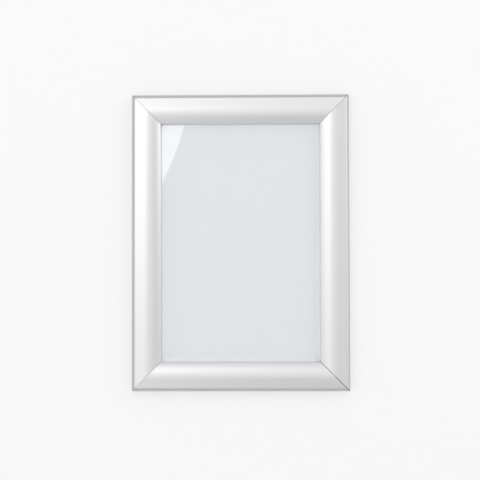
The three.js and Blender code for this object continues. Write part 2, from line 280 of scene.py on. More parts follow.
class PosterFrameStudio(bpy.types.PropertyGroup):
    """Camera, backdrop and light"""

    wall_colour: colour("Wall", (0.87, 0.87, 0.87), "Painted wall")
    wall_glow: colour("Wall glow", (0.925, 0.925, 0.925), "White that the camera sees in the wall")
    floor_colour: colour("Floor", (0.86, 0.86, 0.85), "Floor under the frame")
    camera_distance: length("Camera distance", 1.5, "From the frame to the camera")
    camera_right: length("Camera right", 35.7 * MM, "How far right of the frame's middle it stands")
    camera_drop: length("Camera drop", 53.1 * MM, "How far below the frame's middle it stands")
    camera_tilt: angle("Camera tilt", 2.133, "How far the camera looks up")
    camera_turn: angle("Camera turn", 1.392, "How far the camera looks to its left")
    camera_roll: angle("Camera roll", 0.124, "How far the camera leans to its side")
    focal_length: bpy.props.FloatProperty(
        name="Focal length", default=101.98, description="The lens, for a sensor of 36 mm"
    )
    world_level: level("Room light", 0.91, "Strength of the even light from all round")
    round_level: level("Round softbox", 0.79, "Radiance of the round softbox beside the camera")
    front_level: level("Front softbox", 0.23, "Radiance of the softbox behind the camera")
    top_level: level("Top softbox", 0.27, "Radiance of the softbox over the camera")
    low_level: level("Low softbox", 0.5, "Radiance of the softbox at the lower left")
    left_level: level("Left softbox", 0.34, "Radiance of the softbox at the left")
    right_level: level("Right softbox", 1.36, "Radiance of the softbox at the upper right")
    side_level: level("Side softbox", 0.62, "Radiance of the softbox far at the right")


class PosterFrameSettings(bpy.types.PropertyGroup):
    """All settings of the poster frame"""

    sizes: bpy.props.PointerProperty(type=PosterFrameSizes)
    flap: bpy.props.PointerProperty(type=PosterFrameFlap)
    base: bpy.props.PointerProperty(type=PosterFrameBase)
    spring: bpy.props.PointerProperty(type=PosterFrameSpring)
    key: bpy.props.PointerProperty(type=PosterFrameKey)
    sheets: bpy.props.PointerProperty(type=PosterFrameSheets)
    finish: bpy.props.PointerProperty(type=PosterFrameFinish)
    studio: bpy.props.PointerProperty(type=PosterFrameStudio)


class SectionPlaces:
    """Places in the rails' section that follow from the settings"""

    def __init__(self, settings):
        sizes, flap, base, spring = settings.sizes, settings.flap, settings.base, settings.spring
        self.mitre_step = sizes.mitre_gap * math.sqrt(0.5)
        self.cover_front = FRAME_DEPTH / 2 - COVER_BOX[0][1]
        self.socket_inner = flap.bead_radius + sizes.clearance
        self.socket_outer = self.socket_inner + base.socket_wall
        self.hinge_place = base.side_reveal + self.socket_outer
        neck_room = sizes.clearance / self.socket_inner
        self.neck_spread = math.asin(flap.neck_thickness / 2 / self.socket_inner) + neck_room
        self.neck_angle = base.socket_lip - sizes.open_angle - self.neck_spread
        self.inner_lip = self.neck_angle - self.neck_spread
        turned = self.hinge_place * math.cos(sizes.open_angle)
        reach = self.socket_outer + sizes.clearance - turned
        self.edge_bottom = base.hinge_height + reach / math.sin(sizes.open_angle)
        self.upright_outer = base.side_reveal + base.wall + base.channel
        self.upright_inner = self.upright_outer + base.wall
        self.rib_foot = self.cover_front + flap.rib_headroom
        self.flap_seat = self.rib_foot + spring.seat_inset
        self.rib_inner = flap.rib_place + flap.rib_thickness
        self.lip_top = self.cover_front + sizes.clearance + flap.lip_height + flap.lip_round
        run = sizes.rail_face - flap.lip_round - flap.crest_place
        drop = FRAME_DEPTH - self.lip_top
        self.front_radius = (run**2 + drop**2) / (2 * drop)
        self.front_end = math.acos(run / self.front_radius)
        self.crest_place, self.lean = flap.crest_place, flap.lean
        self.upright_top = self.leaning_height(self.upright_outer, flap.skin) - base.headroom
        self.base_seat = self.upright_top - spring.seat_inset
        into_seat = spring.seat_depth - sizes.clearance - spring.thickness / 2
        self.spring_start = Vector((self.upright_inner - into_seat, self.base_seat))
        self.spring_end = Vector((flap.rib_place + into_seat, self.flap_seat))

    def leaning_height(self, u, skin):
        """Height of the flap's leaning outer zone, or of its inner face at a skin's thickness"""
        radius = self.front_radius
        crest = FRAME_DEPTH - radius + (radius - skin) / math.cos(self.lean)
        return crest - (self.crest_place - u) * math.tan(self.lean)


# Lines in a section


def arc(u, v, radius, start, end, steps):
    """Points along an arc round a place of the section"""
    angles = [start + (end - start) * i / steps for i in range(steps + 1)]
    return [Vector((u + radius * math.cos(a), v + radius * math.sin(a))) for a in angles]


def bezier(points, steps):
    """Points along a Bezier curve, each with the curve's direction there"""
    line = []
    for i in range(steps + 1):
        t = i / steps
        row, ahead = list(points), None
        while len(row) > 1:
            ahead = row[-1] - row[0] if len(row) == 2 else ahead
            row = [a.lerp(b, t) for a, b in zip(row, row[1:])]
        line.append((row[0], ahead.normalized()))
    return line


def height_at(points, u):
    """Height of a line over a place between the rail's edges"""
    right = next(i for i, place in enumerate(points) if place.x > u)
    a, b = points[right - 1], points[right]
    return a.y + (b.y - a.y) * (u - a.x) / (b.x - a.x)


def turn_at(before, here, after):
    """How far a line turns at a point, in radians"""
    cosine = (here - before).normalized().dot((after - here).normalized())
    return math.acos(max(-1.0, min(1.0, cosine)))


def softened(points, radius):
    """A closed outline with its sharp corners rounded, and with holding points beside them"""
    kept = [p for i, p in enumerate(points) if (p - points[i - 1]).length > NEAR]
    rounded = []
    for i, here in enumerate(kept):
        before, after = kept[i - 1], kept[(i + 1) % len(kept)]
        turn = turn_at(before, here, after)
        if turn < LEAST_TURN:
            rounded.append(here)
            continue
        back, ahead = before - here, after - here
        reach = min(radius * math.tan(turn / 2), ROUND_SHARE * min(back.length, ahead.length))
        start, end = here + back.normalized() * reach, here + ahead.normalized() * reach
        rounded += [place for place, _ in bezier([start, here, end], ROUND_STEPS)]
    held = []
    for i, here in enumerate(rounded):
        after = rounded[(i + 1) % len(rounded)]
        held.append(here)
        if (after - here).length > LONG_SIDE * radius:
            step = (after - here).normalized() * radius
            held += [here + step, after - step]
    return held


def edge_curve(settings, skin):
    """The flap's outer edge from its bottom up to the leaning zone, or a skin's thickness inside"""
    places, flap = SectionPlaces(settings), settings.flap
    top = places.leaning_height(flap.edge_width, skin)
    bend = flap.edge_width - flap.edge_bend * (flap.edge_width - skin)
    corners = (
        (skin, places.edge_bottom),
        (skin, places.edge_bottom + flap.edge_bend * (top - places.edge_bottom)),
        (bend, places.leaning_height(bend, skin)),
        (flap.edge_width, top),
    )
    return [place for place, _ in bezier([Vector(corner) for corner in corners], EDGE_STEPS)]


def front_curve(places, skin):
    """The flap's front from its leaning zone over the crest down to the lip"""
    middle = (places.crest_place, FRAME_DEPTH - places.front_radius, places.front_radius - skin)
    crest = math.pi / 2
    return [
        *arc(*middle, crest + places.lean, crest, LEAN_STEPS),
        *arc(*middle, crest, places.front_end, FRONT_STEPS)[1:],
    ]


def flap_outline(settings):
    """A flap's section: edge, front, lip, toe, spring rib, and hinge bead on its neck"""
    places, flap, sizes = SectionPlaces(settings), settings.flap, settings.sizes
    spring, base = settings.spring, settings.base
    front, under = front_curve(places, 0.0), front_curve(places, flap.skin)
    face, lip_top = sizes.rail_face, places.lip_top
    corner = Vector((face, lip_top - flap.lip_round / math.tan(places.front_end)))
    lip_end = Vector((face, lip_top - flap.lip_round))
    toe_bottom = places.cover_front + sizes.clearance
    lip = bezier([front[-1], corner, lip_end], LIP_STEPS)
    rib_outer, rib_inner = flap.rib_place, places.rib_inner
    neck_rise = places.leaning_height(places.hinge_place, flap.skin) - base.hinge_height
    neck_slant = math.sin(places.neck_angle - places.lean) / math.cos(places.lean)
    neck_root = places.hinge_place + neck_rise / neck_slant * math.cos(places.neck_angle)
    half_root = flap.neck_thickness / 2 / neck_slant
    neck_inner, neck_outer = (
        Vector((u, places.leaning_height(u, flap.skin)))
        for u in (neck_root + half_root, neck_root - half_root)
    )
    spread = math.asin(flap.neck_thickness / 2 / flap.bead_radius)
    bead = (places.hinge_place, base.hinge_height, flap.bead_radius)
    bead_start, bead_end = places.neck_angle - spread, places.neck_angle + spread - 2 * math.pi
    rib = (
        (rib_inner, height_at(under, rib_inner)),
        (rib_inner, places.rib_foot),
        (rib_outer, places.rib_foot),
        (rib_outer, places.flap_seat - spring.seat_half_height),
        (rib_outer + spring.seat_depth, places.flap_seat),
        (rib_outer, places.flap_seat + spring.seat_half_height),
        (rib_outer, height_at(under, rib_outer)),
    )
    return [
        *edge_curve(settings, 0.0),
        *front,
        *[place for place, _ in lip[1:]],
        Vector((face, toe_bottom)),
        Vector((face - flap.toe_width, toe_bottom)),
        *[place for place in reversed(under) if place.x > rib_inner],
        *map(Vector, rib),
        *[place for place in reversed(under) if place.x < rib_outer],
        neck_inner,
        *arc(*bead, bead_start, bead_end, HINGE_STEPS),
        neck_outer,
        *reversed(edge_curve(settings, flap.skin)),
    ]


def base_outline(settings):
    """A base rail's section: side wall, key channel, ledge, fence, upright and hinge socket"""
    places, base, sizes = SectionPlaces(settings), settings.base, settings.sizes
    key, spring = settings.key, settings.spring
    wall_inner = base.side_reveal + base.wall
    ceiling = base.channel_lip + key.thickness + 2 * sizes.clearance
    foot = math.pi + math.acos((places.hinge_place - wall_inner) / places.socket_outer)
    inner_lip = places.inner_lip + 2 * math.pi
    hinge = (places.hinge_place, base.hinge_height)
    corners = [
        (base.side_reveal, 0),
        (wall_inner + base.lip_reach, 0),
        (wall_inner + base.lip_reach, base.channel_lip),
        (wall_inner, base.channel_lip),
        (wall_inner, ceiling),
        (places.upright_outer, ceiling),
        (places.upright_outer, base.channel_lip),
        (places.upright_outer - base.lip_reach, base.channel_lip),
        (places.upright_outer - base.lip_reach, 0),
        (base.ledge_end, 0),
        (base.ledge_end, base.wall),
        (sizes.poster_inset, base.wall),
        (sizes.poster_inset, places.cover_front),
        (sizes.poster_inset - base.fence, places.cover_front),
        (sizes.poster_inset - base.fence, base.wall),
        (places.upright_inner, base.wall),
        (places.upright_inner, places.base_seat - spring.seat_half_height),
        (places.upright_inner - spring.seat_depth, places.base_seat),
        (places.upright_inner, places.base_seat + spring.seat_half_height),
        (places.upright_inner, places.upright_top),
        (places.upright_outer, places.upright_top),
        (places.upright_outer, ceiling + base.wall),
        (wall_inner, ceiling + base.wall),
    ]
    return [
        *map(Vector, corners),
        *arc(*hinge, places.socket_outer, foot, inner_lip, HINGE_STEPS),
        *arc(*hinge, places.socket_inner, inner_lip, base.socket_lip, HINGE_STEPS),
        Vector((base.side_reveal, base.hinge_height + base.socket_tip)),
    ]


def outline_mesh(name, points):
    """A closed line in the section's plane, each point with the way in from the outline's edge"""
    area = sum(a.x * b.y - a.y * b.x for a, b in zip(points, points[1:] + points[:1])) / 2
    inside = 1 if area > 0 else -1
    ways = []
    for i, here in enumerate(points):
        back = (here - points[i - 1]).normalized()
        ahead = (points[(i + 1) % len(points)] - here).normalized()
        sides = [inside * Vector((-way.y, way.x)) for way in (back, ahead)]
        way = (sides[0] + sides[1]) / max(0.5, 1 + sides[0].dot(sides[1]))
        ways.append((way.x, way.y, 0.0))
    mesh = bpy.data.meshes.new(name)
    edges = [(i, (i + 1) % len(points)) for i in range(len(points))]
    mesh.from_pydata([(p.x, p.y, 0.0) for p in points], edges, [])
    inward = mesh.attributes.new("inward", "FLOAT_VECTOR", "POINT")
    inward.data.foreach_set("vector", [value for way in ways for value in way])
    return mesh


# Node trees

FLOAT, INTEGER = "NodeSocketFloat", "NodeSocketInt"
VECTOR, FINISH = "NodeSocketVector", "NodeSocketMaterial"
RAIL_INPUTS = {
    "Length": FLOAT,
    "Across": FLOAT,
    "Depth": FLOAT,
    "Quarter Turns": INTEGER,
    "Finish": FINISH,
    "Start Mitre": FLOAT,
    "End Mitre": FLOAT,
    "Sawn Edge": FLOAT,
}


def put(tree, value, socket):
    """Links an output to an input, or gives the input a value"""
    if isinstance(value, bpy.types.NodeSocket):
        tree.links.new(value, socket)
    elif value is not None:
        socket.default_value = value


def feed(tree, node, **inputs):
    """Values or links for a node's inputs, by their names"""
    for key, value in inputs.items():
        put(tree, value, node.inputs[key.replace("_", " ")])


def add_node(tree, kind, settings=None, **inputs):
    """A new node, with its settings and its inputs"""
    node = tree.nodes.new(kind)
    for key, value in (settings or {}).items():
        setattr(node, key, value)
    feed(tree, node, **inputs)
    return node


def result(tree, kind, settings=None, **inputs):
    """The first output of a new node"""
    return add_node(tree, kind, settings, **inputs).outputs[0]


def in_order(tree, kind, settings, *values):
    """The first output of a new node whose inputs are fed in their order"""
    node = add_node(tree, kind, settings)
    for value, socket in zip(values, node.inputs):
        put(tree, value, socket)
    return node.outputs[0]


def maths(tree, operation, *values):
    return in_order(tree, "ShaderNodeMath", {"operation": operation}, *values)


def plus(tree, a, b):
    return maths(tree, "ADD", a, b)


def minus(tree, a, b):
    return maths(tree, "SUBTRACT", a, b)


def times(tree, a, b):
    return maths(tree, "MULTIPLY", a, b)


def vector_of(tree, x=0.0, y=0.0, z=0.0):
    return result(tree, "ShaderNodeCombineXYZ", X=x, Y=y, Z=z)


def parts_of(tree, vector):
    return add_node(tree, "ShaderNodeSeparateXYZ", Vector=vector).outputs


def new_tree(name, inputs):
    """A modifier's tree with named inputs"""
    tree = bpy.data.node_groups.new(name, "GeometryNodeTree")
    tree.interface.new_socket("Geometry", in_out="INPUT", socket_type="NodeSocketGeometry")
    for label, kind in inputs.items():
        tree.interface.new_socket(label, in_out="INPUT", socket_type=kind)
    tree.interface.new_socket("Geometry", in_out="OUTPUT", socket_type="NodeSocketGeometry")
    return tree, tree.nodes.new("NodeGroupInput").outputs, tree.nodes.new("NodeGroupOutput").inputs


def swept_section(tree, given):
    """Sweeps the outline between a rail's mitres, in the rail's own frame: along, back, in"""
    profile = result(tree, "GeometryNodeMeshToCurve", Mesh=given["Geometry"])
    on_points = {"domain": "POINT"}
    section = add_node(tree, "GeometryNodeCaptureAttribute", on_points, Geometry=profile)
    vectors = {"data_type": "FLOAT_VECTOR"}
    for label, source in (
        ("Place", result(tree, "GeometryNodeInputPosition")),
        ("Inward", result(tree, "GeometryNodeInputNamedAttribute", vectors, Name="inward")),
    ):
        section.capture_items.new("VECTOR", label)
        tree.links.new(source, section.inputs[label])
    line = result(tree, "GeometryNodeCurvePrimitiveLine", End=(0.0, 0.0, 1.0))
    line = result(tree, "GeometryNodeResampleCurve", Curve=line, Count=RINGS)
    rings = add_node(tree, "GeometryNodeCaptureAttribute", on_points, Geometry=line)
    rings.capture_items.new("INT", "Ring")
    index = tree.nodes.new("GeometryNodeSplineParameter").outputs["Index"]
    tree.links.new(index, rings.inputs["Ring"])
    bar = result(
        tree,
        "GeometryNodeCurveToMesh",
        Curve=rings.outputs[0],
        Profile_Curve=section.outputs[0],
        Fill_Caps=True,
    )
    # The two outer rings are the sawn faces, inset by the broken edge that ends at the next ring.
    ring, middle = rings.outputs["Ring"], (RINGS - 1) / 2
    far = maths(tree, "GREATER_THAN", ring, middle)
    side = minus(tree, times(tree, far, 2.0), 1.0)
    from_middle = maths(tree, "ABSOLUTE", minus(tree, ring, middle))
    at_end = maths(tree, "GREATER_THAN", from_middle, 1.0)
    inset = times(tree, given["Sawn Edge"], at_end)
    setback = minus(tree, given["Sawn Edge"], inset)
    moved = in_order(
        tree,
        "ShaderNodeVectorMath",
        {"operation": "MULTIPLY_ADD"},
        section.outputs["Inward"],
        vector_of(tree, inset, inset),
        section.outputs["Place"],
    )
    place = parts_of(tree, moved)
    wider = minus(tree, given["End Mitre"], given["Start Mitre"])
    mitre = maths(tree, "MULTIPLY_ADD", far, wider, given["Start Mitre"])
    shortened = plus(tree, plus(tree, place["X"], mitre), setback)
    along = times(tree, side, minus(tree, times(tree, given["Length"], 0.5), shortened))
    position = vector_of(tree, along, times(tree, place["Y"], -1.0), place["X"])
    return result(tree, "GeometryNodeSetPosition", Geometry=bar, Position=position)


def cut_from(tree, solid, cutters):
    settings = {"operation": "DIFFERENCE", "solver": "EXACT"}
    node = add_node(tree, "GeometryNodeMeshBoolean", settings)
    tree.links.new(solid, node.inputs[0])
    for cutter in cutters:
        tree.links.new(cutter, node.inputs[1])
    return node.outputs[0]


def placed(tree, solid, move=None, turn=None):
    return result(tree, "GeometryNodeTransform", Geometry=solid, Translation=move, Rotation=turn)


def copied(tree, points, piece, turn=None):
    """Real copies of a piece, one at each point"""
    copies = result(
        tree, "GeometryNodeInstanceOnPoints", Points=points, Instance=piece, Rotation=turn
    )
    return result(tree, "GeometryNodeRealizeInstances", Geometry=copies)


def painted(tree, given, made, solid):
    """Ends a tree: makes what it holds real and gives it its finish"""
    solid = result(tree, "GeometryNodeRealizeInstances", Geometry=solid)
    solid = result(tree, "GeometryNodeSetMaterial", Geometry=solid, Material=given["Finish"])
    tree.links.new(solid, made[0])


def finished(tree, given, made, solid):
    """Keeps the points' places in the rail, sets the shading and stands the rail on its side"""
    solid = result(
        tree,
        "GeometryNodeStoreNamedAttribute",
        {"data_type": "FLOAT_VECTOR", "domain": "POINT"},
        Geometry=solid,
        Name="rail_place",
        Value=result(tree, "GeometryNodeInputPosition"),
    )
    bend = tree.nodes.new("GeometryNodeInputMeshEdgeAngle").outputs["Unsigned Angle"]
    sharp = maths(tree, "GREATER_THAN", bend, SHARP_BEND)
    for domain, chosen, smooth in (("FACE", None, True), ("EDGE", sharp, False)):
        solid = result(
            tree,
            "GeometryNodeSetShadeSmooth",
            {"domain": domain},
            Geometry=solid,
            Selection=chosen,
            Shade_Smooth=smooth,
        )
    half_depth, down = times(tree, given["Depth"], 0.5), times(tree, given["Across"], -0.5)
    solid = placed(tree, solid, move=vector_of(tree, 0.0, half_depth, down))
    turn = times(tree, given["Quarter Turns"], -math.pi / 2)
    painted(tree, given, made, placed(tree, solid, turn=vector_of(tree, 0.0, turn, 0.0)))


def block(tree, low, high):
    """A box between two corners, each a list of three values or links"""
    size = [minus(tree, b, a) for a, b in zip(low, high)]
    middle = [times(tree, plus(tree, a, b), 0.5) for a, b in zip(low, high)]
    cube = result(tree, "GeometryNodeMeshCube", Size=vector_of(tree, *size))
    return placed(tree, cube, move=vector_of(tree, *middle))


def flap_tree():
    """A flap: its section swept, with the bead and the rib's foot cut back at both ends"""
    cuts = {f"{name} {corner}": VECTOR for name in ("Bead", "Rib") for corner in ("Low", "High")}
    tree, given, made = new_tree("Hinged flap", {**RAIL_INPUTS, **cuts})
    bar = swept_section(tree, given)
    half = times(tree, given["Length"], 0.5)
    over = plus(tree, half, MM)
    cutters = []
    for name in ("Bead", "Rib"):
        low, high = (parts_of(tree, given[f"{name} {corner}"]) for corner in ("Low", "High"))
        inner = minus(tree, half, high["X"])
        back, front = (times(tree, corner["Y"], -1.0) for corner in (low, high))
        for near, far in ([times(tree, end, -1.0) for end in (over, inner)], (inner, over)):
            cutters.append(block(tree, [near, front, low["Z"]], [far, back, high["Z"]]))
    finished(tree, given, made, cut_from(tree, bar, cutters))
    return tree


def base_tree():
    """A base rail: its section swept, with a countersunk hole for a wall screw"""
    inputs = {"Hole Place": FLOAT, "Hole Radius": FLOAT, "Sink Radius": FLOAT, "Wall": FLOAT}
    tree, given, made = new_tree("Base rail", {**RAIL_INPUTS, **inputs})
    bar = swept_section(tree, given)
    radius, sink = given["Hole Radius"], given["Sink Radius"]
    shank = result(
        tree,
        "GeometryNodeMeshCylinder",
        Vertices=HOLE_SIDES,
        Radius=radius,
        Depth=HOLE_REACH,
    )
    # The cone is twice as high as the rail's wall, so it has the sink's radius at the wall's face.
    cone = result(
        tree,
        "GeometryNodeMeshCone",
        Vertices=HOLE_SIDES,
        Radius_Top=plus(tree, sink, minus(tree, sink, radius)),
        Radius_Bottom=radius,
        Depth=times(tree, given["Wall"], 2.0),
    )
    place = vector_of(tree, 0.0, 0.0, given["Hole Place"])
    cutters = [placed(tree, solid, place, (math.pi / 2, 0.0, 0.0)) for solid in (shank, cone)]
    finished(tree, given, made, cut_from(tree, bar, cutters))
    return tree


def spring_tree():
    """The springs of one side: one strip, repeated at two places along the rail"""
    labels = ("Length", "Across", "Depth", "Quarter Turns", "Finish")
    inputs = {**{label: RAIL_INPUTS[label] for label in labels}, "First": FLOAT, "Second": FLOAT}
    tree, given, made = new_tree("Leaf springs", inputs)
    line = add_node(tree, "GeometryNodeMeshLine", {"mode": "END_POINTS"}, Count=2)
    for name, end in (("First", "Start Location"), ("Second", "Offset")):
        along = times(tree, minus(tree, given[name], 0.5), given["Length"])
        tree.links.new(vector_of(tree, along), line.inputs[end])
    finished(tree, given, made, copied(tree, line.outputs[0], given["Geometry"]))
    return tree


def key_tree():
    """The four corner keys: one key, repeated at the frame's corners and turned with them"""
    inputs = {"Width": FLOAT, "Height": FLOAT, "Depth": FLOAT, "Finish": FINISH}
    tree, given, made = new_tree("Corner keys", inputs)
    line = result(tree, "GeometryNodeMeshLine", Count=4)
    angle = times(tree, result(tree, "GeometryNodeInputIndex"), math.pi / 2)
    # The corners follow one another against the clock, from the bottom left one on.
    diagonal = plus(tree, angle, 1.25 * math.pi)
    x, z = (
        times(tree, maths(tree, "SIGN", maths(tree, wave, diagonal)), given[size])
        for wave, size in (("COSINE", "Width"), ("SINE", "Height"))
    )
    place = vector_of(tree, *(times(tree, value, 0.5) for value in (x, given["Depth"], z)))
    points = result(tree, "GeometryNodeSetPosition", Geometry=line, Position=place)
    turn = vector_of(tree, 0.0, times(tree, angle, -1.0), 0.0)
    painted(tree, given, made, copied(tree, points, given["Geometry"], turn))
    return tree


def made_plain(name, mesh, tree=None, inputs=None):
    """A finished object from a mesh: through a tree where one is given, then as a plain mesh"""
    piece = bpy.data.objects.new(name, mesh)
    bpy.context.scene.collection.objects.link(piece)
    if tree is not None:
        modifier = piece.modifiers.new(tree.name, "NODES")
        modifier.node_group = tree
        sockets = {s.name: s.identifier for s in tree.interface.items_tree if s.in_out == "INPUT"}
        for label, value in inputs.items():
            modifier[sockets[label]] = value
        bpy.context.view_layer.update()
        evaluated = piece.evaluated_get(bpy.context.evaluated_depsgraph_get())
        piece.data = bpy.data.meshes.new_from_object(evaluated)
        piece.data.name = name
        piece.modifiers.clear()
    if not piece.data.polygons:
        raise RuntimeError(f"{name} came out empty")
    made = bmesh.new()
    made.from_mesh(piece.data)
    bmesh.ops.remove_doubles(made, verts=made.verts, dist=NEAR)
    bmesh.ops.recalc_face_normals(made, faces=made.faces)
    made.to_mesh(piece.data)
    made.free()
    return piece


def side_inputs(index):
    """Inputs that place a rail, for the side of that index"""
    upright = index % 2 == 1
    return {
        "Length": FRAME_HEIGHT if upright else FRAME_WIDTH,
        "Across": FRAME_WIDTH if upright else FRAME_HEIGHT,
        "Depth": FRAME_DEPTH,
        "Quarter Turns": index,
    }


def corner_gaps(sizes):
    """Gaps between neighbouring flaps, in the order of the corners"""
    return (sizes.mitre_tight, sizes.mitre_bottom_right, sizes.mitre_tight, sizes.mitre_top_left)


def end_cuts(settings):
    """What is cut from a flap's ends, as corners of boxes: reach from the end, height, inset"""
    places, flap, base = SectionPlaces(settings), settings.flap, settings.base
    bead_reach = places.hinge_place + flap.bead_radius + settings.sizes.clearance
    swing = math.hypot(places.rib_inner - places.hinge_place, base.hinge_height - places.rib_foot)
    rib_reach = places.hinge_place + swing + settings.sizes.clearance
    return {
        "Bead Low": (0.0, base.hinge_height - flap.bead_radius - MM, -MM),
        "Bead High": (bead_reach, base.hinge_height + flap.bead_radius, bead_reach),
        "Rib Low": (0.0, places.rib_foot - MM, flap.rib_place - MM),
        "Rib High": (rib_reach, base.hinge_height, places.rib_inner + MM),
    }


# Finishes


def new_finish(name):
    """A material with its Principled shader"""
    finish = bpy.data.materials.new(name)
    finish.use_nodes = True
    return finish, finish.node_tree, finish.node_tree.nodes["Principled BSDF"]


def object_place(tree):
    return tree.nodes.new("ShaderNodeTexCoord").outputs["Object"]


def rail_place(tree):
    """The place in the rail's own frame: along, back, in"""
    settings = {"attribute_name": "rail_place"}
    return add_node(tree, "ShaderNodeAttribute", settings).outputs["Vector"]


def noise(tree, place, scale, detail=3.0, stretch=(1.0, 1.0, 1.0)):
    """Noise over a place, with its features a metre over scale wide, divided by the stretch"""
    scales = tuple(scale * value for value in stretch)
    mapped = result(tree, "ShaderNodeMapping", {"vector_type": "POINT"}, Vector=place, Scale=scales)
    made = add_node(tree, "ShaderNodeTexNoise", Vector=mapped, Scale=1.0, Detail=detail)
    return made.outputs["Fac"]


def ranged(tree, value, source, target):
    """A value's place in one range, carried over to another"""
    return result(
        tree,
        "ShaderNodeMapRange",
        Value=value,
        From_Min=source[0],
        From_Max=source[1],
        To_Min=target[0],
        To_Max=target[1],
    )


def between(tree, factor, low, high):
    return ranged(tree, factor, (0.0, 1.0), (low, high))


def tinted(tree, factor, rgb, darkest):
    """A colour that runs from a share of itself up to the whole of it"""
    dark = tuple(value * darkest for value in rgb)
    colours = {"A": (*dark, 1.0), "B": (*rgb, 1.0)}
    node = add_node(tree, "ShaderNodeMix", {"data_type": "RGBA"}, Factor=factor, **colours)
    return node.outputs["Result"]


def scaled(tree, rgb, factor):
    settings = {"operation": "SCALE"}
    return result(tree, "ShaderNodeVectorMath", settings, Vector=rgb, Scale=factor)


def bumped(tree, shader, height, distance):
    bump = result(tree, "ShaderNodeBump", Height=height, Distance=distance, Strength=1.0)
    tree.links.new(bump, shader.inputs["Normal"])


def mixed(tree, factor, first, second):
    """Two shaders mixed: the first where the factor is zero, the second where it is one"""
    return in_order(tree, "ShaderNodeMixShader", None, factor, first, second)


def shown(tree, shader):
    tree.links.new(shader, tree.nodes["Material Output"].inputs["Surface"])


def sawn_face(tree):
    """One on the faces sawn for the mitres, which face along and across at once, else zero"""
    parts = parts_of(tree, tree.nodes.new("ShaderNodeTexCoord").outputs["Normal"])
    along, across = (maths(tree, "ABSOLUTE", parts[axis]) for axis in ("X", "Z"))
    return maths(tree, "GREATER_THAN", maths(tree, "MINIMUM", along, across), SAWN_LEAST)


def painted_zone_tone(tree, place, painted_zones):
    """A factor of painted shade and light that changes across the rail, from pairs of a place in
    from its edge and a tone
    """
    inset = parts_of(tree, place)["Z"]
    tone = painted_zones[0][1]
    for (start, before), (end, after) in zip(painted_zones, painted_zones[1:]):
        if before != after:
            tone = times(tree, ranged(tree, inset, (start, end), (1.0, after / before)), tone)
    return tone


def aluminium(name, rgb, roughness, lines, painted_zones=()):
    """Satin aluminium: matt grain from etching, faint lines along the rail from the die, painted
    shade on the sawn faces, and painted shade and light in given bands across the rail
    """
    finish, tree, shader = new_finish(name)
    place = rail_place(tree)
    die = noise(tree, place, 900.0, 4.0, (0.004, 1.0, 1.0))
    broad = noise(tree, place, 120.0, 2.0, (0.02, 1.0, 1.0))
    grain = noise(tree, place, 4200.0, 2.0)
    streak = plus(tree, times(tree, die, 0.6), times(tree, broad, 0.4))
    # Painted shade: the faces sawn for the mitres are coloured darker, so that the mitre gaps look
    # dark
    tone = minus(tree, 1.0, times(tree, sawn_face(tree), 1 - SAWN_SHADE))
    # Painted shade along the flaps' outer edge and painted light on their lip, as a factor on the
    # colour
    if painted_zones:
        tone = times(tree, tone, painted_zone_tone(tree, place, painted_zones))
    from_streak, from_grain = 0.12 * lines, 0.06
    rough = plus(tree, times(tree, streak, from_streak), times(tree, grain, from_grain))
    relief = plus(tree, times(tree, die, 0.7 * lines), times(tree, grain, 0.6))
    bumped(tree, shader, relief, 0.004 * MM)
    feed(
        tree,
        shader,
        Base_Color=scaled(tree, tinted(tree, streak, rgb, 1 - 0.05 * lines), tone),
        Roughness=plus(tree, rough, roughness - (from_streak + from_grain) / 2),
        Metallic=1.0,
    )
    return finish


def steel(name, place_in, rgb, darkest, cloud, grain, gloss, relief):
    """Steel with clouds in its colour, and with a grain in its roughness and relief"""
    finish, tree, shader = new_finish(name)
    place = place_in(tree)
    clouds, grains = noise(tree, place, *cloud), noise(tree, place, *grain)
    bumped(tree, shader, grains, relief)
    feed(
        tree,
        shader,
        Base_Color=tinted(tree, clouds, rgb, darkest),
        Roughness=between(tree, grains, *gloss),
        Metallic=1.0,
    )
    return finish


def zinc_plate(rgb):
    """Zinc plate on steel: a cool tone with faint clouds and a fine crystal bloom"""
    cloud, bloom = (90.0, 4.0), (1400.0, 2.0)
    return steel("zinc_steel", object_place, rgb, 0.8, cloud, bloom, (0.3, 0.52), 0.01 * MM)


def blued_steel(rgb):
    """Rolled spring steel: dark, with fine grain along the strip"""
    cloud, grain = (150.0, 3.0), (2600.0, 3.0, (0.02, 1.0, 1.0))
    return steel("spring_steel", rail_place, rgb, 0.75, cloud, grain, (0.2, 0.38), 0.004 * MM)


def panel_plastic(rgb, rail_face):
    """Matt plastic sheet: a faint mottle, a fine even texture, and painted light in a paler margin
    by the rails that lightens the lips' shade
    """
    finish, tree, shader = new_finish("pale_panel")
    place = object_place(tree)
    mottle, texture = noise(tree, place, 14.0, 3.0), noise(tree, place, 1500.0, 2.0)
    parts = parts_of(tree, place)
    from_x, from_z = (
        minus(tree, size / 2 - rail_face, maths(tree, "ABSOLUTE", parts[axis]))
        for axis, size in (("X", FRAME_WIDTH), ("Z", FRAME_HEIGHT))
    )
    nearest = maths(tree, "MINIMUM", from_x, from_z)
    # Painted light: paler near the window's edge, fading out over the margin's width
    margin = ranged(tree, nearest, (0.0, PAINTED_MARGIN_WIDTH), (PAINTED_MARGIN_LIGHT, 1.0))
    bumped(tree, shader, texture, 0.012 * MM)
    feed(
        tree,
        shader,
        Base_Color=scaled(tree, tinted(tree, mottle, rgb, 0.975), margin),
        Roughness=between(tree, texture, 0.5, 0.66),
        Specular_IOR_Level=0.4,
    )
    return finish


